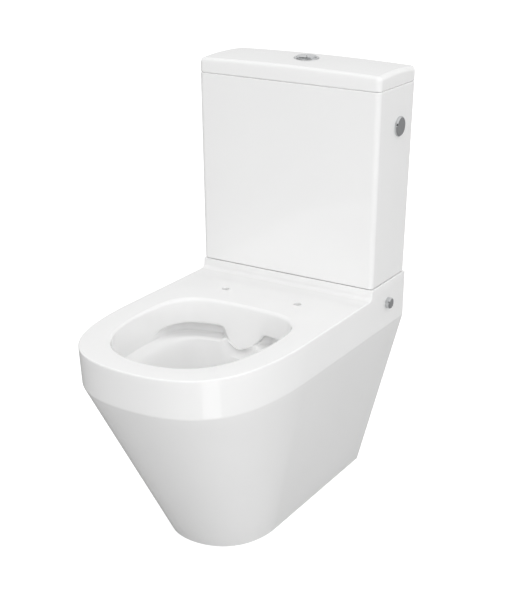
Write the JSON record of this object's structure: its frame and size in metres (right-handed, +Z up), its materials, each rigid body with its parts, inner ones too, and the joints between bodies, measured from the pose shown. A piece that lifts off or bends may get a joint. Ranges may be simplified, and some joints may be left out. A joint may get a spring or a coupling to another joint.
{
  "type": "close coupled toilet",
  "caption": "White glazed china close coupled toilet: shrouded rimless pan, cistern with domed lid and chrome dual flush button, flush valve and side fill valve inside, no seat.",
  "frame": {"origin": "on the floor, in the middle plane, halfway between the wall and the tip of the nose", "axes": "+Z up, -Y to the front of the bowl, +Y to the wall, +X to the side of the blanking plug"},
  "size_m": [0.4147, 0.6554, 0.8339],
  "materials": {
    "china": "gloss",
    "chrome": "polished",
    "white_plastic": "satin",
    "grey_plastic": "satin",
    "rubber": "matte",
    "steel": "satin"
  },
  "bodies": {
    "toilet": {"pan": "china", "cistern_tank": "china", "coupling_gasket": "rubber", "valve_base": "white_plastic", "valve_backnut": "white_plastic", "valve_washer": "rubber", "valve_tower": "white_plastic", "lever_pin": "steel", "fill_valve_body": "white_plastic", "fill_tube": "white_plastic", "fill_valve_cap": "grey_plastic", "float_arm_pin": "steel", "inlet_washer": "rubber", "inlet_locknut": "white_plastic", "plug_washer": "rubber", "plug_locknut": "white_plastic", "inlet_blanking_plug": "chrome", "tank_bolts": "steel", "tank_bolt_washers": "rubber", "tank_plate_washers": "steel", "wing_nuts": "grey_plastic", "tank_pads": "rubber", "fixing_caps": "chrome", "fixing_screws": "steel", "fixing_brackets": "steel"},
    "lid": {"cistern_lid": "china", "button_bezel": "chrome", "button_sleeve": "white_plastic", "button_nut": "white_plastic", "full_button_spring": "steel", "half_button_spring": "steel"},
    "full_button": {"full_flush_button": "chrome", "full_push_rod": "white_plastic"},
    "half_button": {"half_flush_button": "chrome", "half_push_rod": "white_plastic"},
    "full_lever": {"full_flush_lever": "grey_plastic"},
    "half_lever": {"half_flush_lever": "grey_plastic"},
    "flush_tube": {"overflow_tube": "white_plastic", "flush_seal": "rubber"},
    "float": {"float_cup": "grey_plastic", "float_rod": "white_plastic"},
    "arm": {"float_arm": "grey_plastic"}
  },
  "joints": [
    {"name": "lid_lift", "type": "slide", "parent": "toilet", "child": "lid", "axis": [0, 0, 1], "range_m": [0, 0.15]},
    {"name": "full_press", "type": "slide", "parent": "lid", "child": "full_button", "axis": [0, 0, -1], "range_m": [0, 0.005], "stiffness_N_per_m": 300, "springref_m": -0.006, "deforming": ["full_button_spring"]},
    {"name": "half_press", "type": "slide", "parent": "lid", "child": "half_button", "axis": [0, 0, -1], "range_m": [0, 0.005], "stiffness_N_per_m": 300, "springref_m": -0.006, "deforming": ["half_button_spring"]},
    {"name": "full_lever_rock", "type": "hinge", "parent": "toilet", "child": "full_lever", "pos_m": [0, 0.251, 0.6995], "axis": [-0.5, 0.866, 0], "range_deg": [0, 26.2]},
    {"name": "half_lever_rock", "type": "hinge", "parent": "toilet", "child": "half_lever", "pos_m": [0, 0.251, 0.6995], "axis": [0.5, -0.866, 0], "range_deg": [0, 26.2]},
    {"name": "tube_lift", "type": "slide", "parent": "toilet", "child": "flush_tube", "axis": [0, 0, 1], "range_m": [0, 0.0138]},
    {"name": "float_rise", "type": "slide", "parent": "toilet", "child": "float", "axis": [0, 0, 1], "range_m": [0, 0.018]},
    {"name": "arm_swing", "type": "hinge", "parent": "toilet", "child": "arm", "pos_m": [-0.1316, 0.264, 0.7675], "axis": [0, -1, 0], "range_deg": [0, 26.2]}
  ],
  "couplings": [
    {"joint": "full_lever_rock", "follows": "full_press", "rad_per_m": 90.909},
    {"joint": "half_lever_rock", "follows": "half_press", "rad_per_m": 90.909},
    {"joint": "tube_lift", "follows": "full_press", "ratio": 2.75},
    {"joint": "arm_swing", "follows": "float_rise", "rad_per_m": 25.253}
  ]
}
